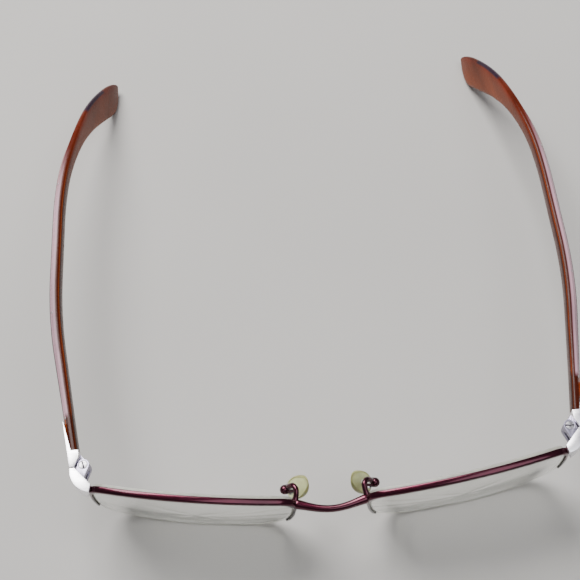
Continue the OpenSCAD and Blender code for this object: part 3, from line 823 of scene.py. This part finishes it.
class EYEGLASSES_OT_pad_arms(bpy.types.Operator):
    """Makes the arched wires between the rims and the pad boxes"""

    bl_idname = "eyeglasses.pad_arms"
    bl_label = "Pad arms"

    def execute(self, context):
        corner = Vector(NOSE_CORNER)
        pivot = Vector((PAD_PIVOT.x, PAD_PIVOT.y - HINGE.y, PAD_PIVOT.z)) / MM
        route = [corner + Vector(p) for p in (
            (-0.5, 0.25, 0.1), (-0.95, 1.9, 0.9), (-0.95, 3.1, 1.15), (-0.3, 4.1, 0.75), (0.5, 4.35, -0.2)
        )]
        route.append(pivot + Vector((0.6, -0.15, 1.15)))
        path = [spline(route, i, k / 8) for i in range(len(route) - 1) for k in range(8)] + [route[-1]]
        r = context.scene.eyeglasses_pads.wire / MM
        for word, side in SIDES:
            rings = []
            for i, c in enumerate(path):
                way = (path[min(len(path) - 1, i + 1)] - path[max(0, i - 1)]).normalized()
                p = way.cross(Vector((0.8, 0, 0.6))).normalized()
                q = way.cross(p)
                fat = r * (1 + 0.35 * blend_up(1 - i / 6))
                rings.append([mirrored(side, c + p * (fat * s) + q * (fat * t)) for s, t in squircle(16, 1.0)])
            fit(loft(f"pad_wire_{word}", rings), f"pad_arm_{word}", plated_plum)
        return {"FINISHED"}


class EYEGLASSES_OT_pad_boxes(bpy.types.Operator):
    """Makes the round pad boxes and their screws, and finishes the moulded inserts"""

    bl_idname = "eyeglasses.pad_boxes"
    bl_label = "Pad boxes"

    def execute(self, context):
        soften("pad_box", "round_box", 0.1, plated_plum)
        soften("pad_screw", "pad_box_screw", 0.05, turned_steel)
        for word, _ in SIDES:
            refinish(f"pad_insert_{word}", finish(clear_nylon))
        return {"FINISHED"}


class EYEGLASSES_OT_nose_pads(bpy.types.Operator):
    """Makes the soft nose pads, crowned on the nose side and rounded at the rim"""

    bl_idname = "eyeglasses.nose_pads"
    bl_label = "Nose pads"

    def execute(self, context):
        pads = context.scene.eyeglasses_pads
        high, wide, thick = pads.pad_height / MM / 2, pads.pad_width / MM / 2, pads.pad_depth / MM
        back, face_radius, rear_radius = -1.8, 12, 30
        turns = [2 * math.pi * k / 64 for k in range(64)]
        shares = [0.03, 0.18, 0.36, 0.54, 0.7, 0.8, 0.86, 0.92, 0.965, 0.99]

        def ring(share, place):
            """Points at a share of the way from the middle to the rim, and a place from face to rear."""
            points = []
            for t in turns:
                y, z = wide * math.sin(t) * (1 - 0.12 * math.cos(t)), high * math.cos(t)
                rho2 = (y * y + z * z) * share * share
                face = back - thick + face_radius - math.sqrt(face_radius ** 2 - rho2)
                rear = back - rear_radius + math.sqrt(rear_radius ** 2 - rho2)
                points.append(at_pad(side, face + (rear - face) * place, y * share, z * share))
            return points

        for word, side in SIDES:
            rings = [ring(s, 0.0) for s in shares[:-2]]
            lip = ((0.965, 0.04), (0.99, 0.16), (1.0, 0.35), (1.0, 0.6), (0.99, 0.82), (0.965, 0.95))
            rings += [ring(s, p) for s, p in lip]
            rings += [ring(s, 1.0) for s in (0.93, 0.9)]
            rings += [ring(s, 0.88) for s in (0.86, 0.8)]
            rings += [ring(s, 0.93) for s in (0.7, 0.54, 0.36, 0.18, 0.03)]
            fit(loft(f"silicone_pad_{word}", rings), f"nose_pad_{word}", soft_silicone)
        return {"FINISHED"}


# --- Temples ---


class Temple:
    """The path of a temple, given by its top line at each distance y behind the hinge, in millimetres."""

    # Seen from above: where the two bends are, half their length, and the slope each bend and the tip take off.
    turn_1, turn_2, half_turn, inward, curl = 44.0, 86.5, 12.0, 0.169, 0.26
    # Where the sleeve starts, where the silver tongue beside it ends and how thick the tongue is at the start.
    start, tongue_end, tongue = 3.8, 11.5, 0.9
    # How far outside the hinge axis the sleeve's middle starts, and the height of the section at the tip.
    offset, tip_high = 1.95, 8.966

    def __init__(self, group, top):
        self.reach, self.width, self.swell = group.reach / MM, group.width / MM, group.swell / MM
        self.high, self.rise, self.end = group.height / MM, group.tip_rise / MM, group.tip_end / MM
        self.drop, self.tip_roll, self.splay = group.drop, group.tip_roll, math.tan(group.splay)
        self.top, self.tip = top, self.reach - self.end
        self.x = HINGE.x / MM + self.offset
        self.bend_top = self.top - self.turn_2 * math.tan(self.drop)
        self.bend = 2 * math.atan((self.bend_top - self.rise) / (self.tip - self.turn_2)) - self.drop
        self.bend_r = (self.tip - self.turn_2) / (math.sin(self.bend) - math.sin(self.drop))

    def gate(self, d):
        """Nothing before a turn, straight after it and a parabola between, with its slope."""
        w = self.half_turn
        return (0, 0) if d < -w else (d, 1) if d > w else ((d + w) ** 2 / (4 * w), (d + w) / (2 * w))

    def plan(self, y):
        """How far out the temple is, and its outward slope."""
        gates = [self.gate(y - at) for at in (self.turn_1, self.turn_2, self.tip - 6)]
        shares = (self.splay, self.inward, self.curl)
        x = self.x + self.splay * y - sum(s * g[0] for s, g in zip(shares, gates))
        return x, self.splay - sum(s * g[1] for s, g in zip(shares, gates))

    def pitch(self, y):
        """How steeply the top line falls."""
        if y < self.turn_2:
            return self.drop
        return self.bend if y > self.tip else math.asin(math.sin(self.drop) + (y - self.turn_2) / self.bend_r)

    def top_z(self, y):
        """Height of the top line."""
        if y < self.turn_2:
            return self.top - y * math.tan(self.drop)
        if y > self.tip:
            return self.rise - (y - self.tip) * math.tan(self.bend)
        return self.bend_top - self.bend_r * (math.cos(self.drop) - math.cos(self.pitch(y)))

    def height(self, y):
        """Height of the section."""
        if y > self.tip:
            return self.tip_high * max(0.06, self.round_off(y) ** 1.3)
        return self.high + (self.tip_high - self.high) * blend_up((y - self.tip + 40) / 40) ** 1.5

    def round_off(self, y):
        """Falls from 1 at the broad place of the tip to 0 at its end, along a quarter circle."""
        return math.sqrt(max(0.0, 1 - ((y - self.tip) / self.end) ** 2))

    def frame(self, y):
        """The top line's point, the way outwards and the way down the section, at y."""
        x, slope = self.plan(y)
        roll = self.tip_roll * blend_up((y - self.turn_2) / (self.tip - self.turn_2))
        level = Vector((1, -slope, 0)).normalized()
        plumb = Vector((slope, 1, -math.tan(self.pitch(y)))).normalized().cross(level).normalized()
        out = level * math.cos(roll) + plumb * math.sin(roll)
        return Vector((x, y, self.top_z(y))), out, plumb * math.cos(roll) - level * math.sin(roll)

    def thick(self, y):
        """Thickness of the section."""
        if y > self.tip:
            return self.width * max(0.4, 1 - 0.6 * ((y - self.tip) / self.end) ** 2)
        return self.width + self.swell * blend_up((y - 8) / 30) * blend_up((self.tip - y) / 40)

    def ring(self, side, y, section):
        """The section at y, from the outer side over the top."""
        start, out, down = self.frame(y)
        high, thick = self.height(y), self.thick(y)
        drop = 0.2 * self.tip_high * (1 - self.round_off(y)) if y > self.tip else 0.0
        centre = start + down * (high / 2 + drop)
        tongue = self.tongue * (1 - (y - self.start) / (self.tongue_end - self.start)) if y < self.tongue_end else 0
        limit = thick / 2 - tongue - (0.02 if tongue else 0)
        return [mirrored(side, centre + out * min(limit, p * thick / 2) + down * (-q * high / 2)) for p, q in section]


# How square the sleeve's section is, how far out its outer top corner is planed off, and how far the pins
# stand out of the sleeve as a share of its half thickness.
SLEEVE_POWER = 0.55
PLANED = 1.24
PIN_PROUD = 0.04


def flush_pins(temple, word, side):
    """The cross pins, with their ends filed nearly flush with the sleeve."""
    bm = bmesh.new()
    bm.from_mesh(frame["nodes"][f"temple_pins_{word}"].data)
    bmesh.ops.remove_doubles(bm, verts=bm.verts, dist=2e-6)
    for v in bm.verts:
        p = Vector((side * v.co.x, v.co.y - HINGE.y, v.co.z)) / MM
        start, out, down = temple.frame(p.y)
        high, thick = temple.height(p.y), temple.thick(p.y)
        away = p - start - down * high / 2
        across, rise = away.dot(out) / (thick / 2), -away.dot(down) / (high / 2)
        most = max(0.0, 1 - abs(rise) ** (1 / SLEEVE_POWER)) ** SLEEVE_POWER
        filed = max(-most, min(most, PLANED - rise, across)) + math.copysign(PIN_PROUD, across)
        if abs(across) > 0.8:
            p += out * ((filed - across) * thick / 2)
            v.co = mirrored(side, p)
    bmesh.ops.recalc_face_normals(bm, faces=bm.faces)
    return finished(f"flush_pins_{word}", bm)


def sleeve_section():
    """The sleeve's section, a rounded oblong whose outer top corner is planed off."""
    points = []
    for p, q in squircle(48, SLEEVE_POWER):
        over = max(0.0, p + q - PLANED) / 2
        points.append((p - over, q - over))
    return points


class EYEGLASSES_OT_temples(bpy.types.Operator):
    """Makes the resin temple sleeves and the silver fittings at their front ends"""

    bl_idname = "eyeglasses.temples"
    bl_label = "Temples"

    def execute(self, context):
        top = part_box("temple_fitting_right")[1].z / MM
        temple = Temple(context.scene.eyeglasses_temples, top)
        section = sleeve_section()
        ys = [temple.start + 0.01, temple.start + 0.2]
        ys += [temple.start + 0.2 + (temple.tip - temple.start - 0.2) * i / 110 for i in range(1, 111)]
        round_end = (0.1, 0.2, 0.3, 0.4, 0.5, 0.6, 0.68, 0.76, 0.82, 0.88, 0.92, 0.96, 0.985, 1)
        ys += [temple.tip + temple.end * t for t in round_end]
        for word, side in SIDES:
            rings = [temple.ring(side, y, section) for y in ys]
            fit(loft(f"resin_sleeve_{word}", rings), f"temple_sleeve_{word}", cast_resin)
            refinish(f"temple_core_{word}", finish(turned_steel))
            fit(flush_pins(temple, word, side), f"temple_pins_{word}", turned_steel)
        soften("temple_fitting", "tongue_fitting", 0.18, polished_silver)
        return {"FINISHED"}


# --- Floor, light and camera ---


class EYEGLASSES_OT_stage(bpy.types.Operator):
    """Lays a pale floor, sets soft lights and places the camera"""

    bl_idname = "eyeglasses.stage"
    bl_label = "Stage"

    def execute(self, context):
        bm = bmesh.new()
        bmesh.ops.create_grid(bm, x_segments=1, y_segments=1, size=1.5)
        floor = finished("floor", bm)
        floor.data.materials.append(finish(pale_floor))
        self.camera(context)
        self.light("window", (-0.38, 0.62, 1.02), 0.75, 30.0, (1.0, 0.985, 0.97))
        self.light("fill", (0.5, -0.3, 1.5), 1.0, 9.0, (0.95, 0.97, 1.0))
        self.surround(context)
        return {"FINISHED"}

    @staticmethod
    def surround(context):
        """A dim room for the light and a pale one for the view."""
        world = bpy.data.worlds.new("studio")
        world.use_nodes = True
        nodes, links = world.node_tree.nodes, world.node_tree.links
        room = nodes["Background"]
        room.inputs["Color"].default_value = (0.93, 0.95, 1.0, 1)
        room.inputs["Strength"].default_value = 0.16
        wall = add(nodes, "ShaderNodeBackground", Color=(0.60, 0.60, 0.59, 1), Strength=1.0)
        path = add(nodes, "ShaderNodeLightPath")
        mix = add(nodes, "ShaderNodeMixShader")
        links.new(path.outputs["Is Camera Ray"], mix.inputs[0])
        links.new(room.outputs[0], mix.inputs[1])
        links.new(wall.outputs[0], mix.inputs[2])
        links.new(mix.outputs[0], nodes["World Output"].inputs["Surface"])
        context.scene.world = world

    @staticmethod
    def light(name, at, size, power, tint):
        """A square area light aimed at the glasses."""
        data = bpy.data.lights.new(name, "AREA")
        data.size, data.energy, data.color = size, power, tint
        obj = bpy.data.objects.new(name, data)
        obj.location = at
        obj.rotation_euler = (Vector((0, 0, 0.01)) - Vector(at)).to_track_quat("-Z", "Y").to_euler()
        bpy.context.scene.collection.objects.link(obj)

    @staticmethod
    def camera(context):
        """A camera above the front, looking down and back along the temples."""
        data = bpy.data.cameras.new("camera")
        data.sensor_width, data.lens = 36.0, 69.517
        data.clip_start, data.clip_end = 0.01, 20.0
        yaw, pitch, roll = math.radians(0.512), math.radians(60.856), math.radians(-4.179)
        ahead = Vector((math.sin(yaw) * math.cos(pitch), math.cos(yaw) * math.cos(pitch), -math.sin(pitch)))
        right = Vector((math.cos(yaw), -math.sin(yaw), 0))
        up = right.cross(ahead)
        c, s = math.cos(roll), math.sin(roll)
        turn = Matrix((right * c + up * s, up * c - right * s, -ahead)).transposed().to_4x4()
        place = Vector((-0.007075, HINGE.y - 0.0997, 0.285764))
        obj = bpy.data.objects.new("camera", data)
        obj.matrix_world = Matrix.Translation(place) @ turn
        context.scene.collection.objects.link(obj)
        context.scene.camera = obj


STEPS = (
    EYEGLASSES_OT_rims, EYEGLASSES_OT_lenses, EYEGLASSES_OT_cords, EYEGLASSES_OT_bridge, EYEGLASSES_OT_end_pieces,
    EYEGLASSES_OT_hinges, EYEGLASSES_OT_pad_arms, EYEGLASSES_OT_pad_boxes, EYEGLASSES_OT_nose_pads,
    EYEGLASSES_OT_temples, EYEGLASSES_OT_stage,
)


class EYEGLASSES_PT_panel(bpy.types.Panel):
    """Lists the sizes, the colours and the steps"""

    bl_label = "Eyeglasses"
    bl_idname = "EYEGLASSES_PT_panel"
    bl_space_type = "VIEW_3D"
    bl_region_type = "UI"
    bl_category = "Eyeglasses"

    def draw(self, context):
        for name in GROUPS:
            box = self.layout.box()
            group = getattr(context.scene, name)
            for prop in group.__annotations__:
                box.prop(group, prop)
        for step in STEPS:
            self.layout.operator(step.bl_idname)


GROUPS = {
    "eyeglasses_front": EyeglassesFront,
    "eyeglasses_temples": EyeglassesTemples,
    "eyeglasses_pads": EyeglassesPads,
    "eyeglasses_colours": EyeglassesColours,
}


def register():
    for name, group in GROUPS.items():
        bpy.utils.register_class(group)
        setattr(bpy.types.Scene, name, bpy.props.PointerProperty(type=group))
    for cls in (*STEPS, EYEGLASSES_PT_panel):
        bpy.utils.register_class(cls)


def unregister():
    for cls in reversed((*STEPS, EYEGLASSES_PT_panel)):
        bpy.utils.unregister_class(cls)
    for name, group in reversed(GROUPS.items()):
        delattr(bpy.types.Scene, name)
        bpy.utils.unregister_class(group)


def main():
    register()
    for step in STEPS:
        area, name = step.bl_idname.split(".")
        getattr(getattr(bpy.ops, area), name)()


if __name__ == "__main__":
    main()
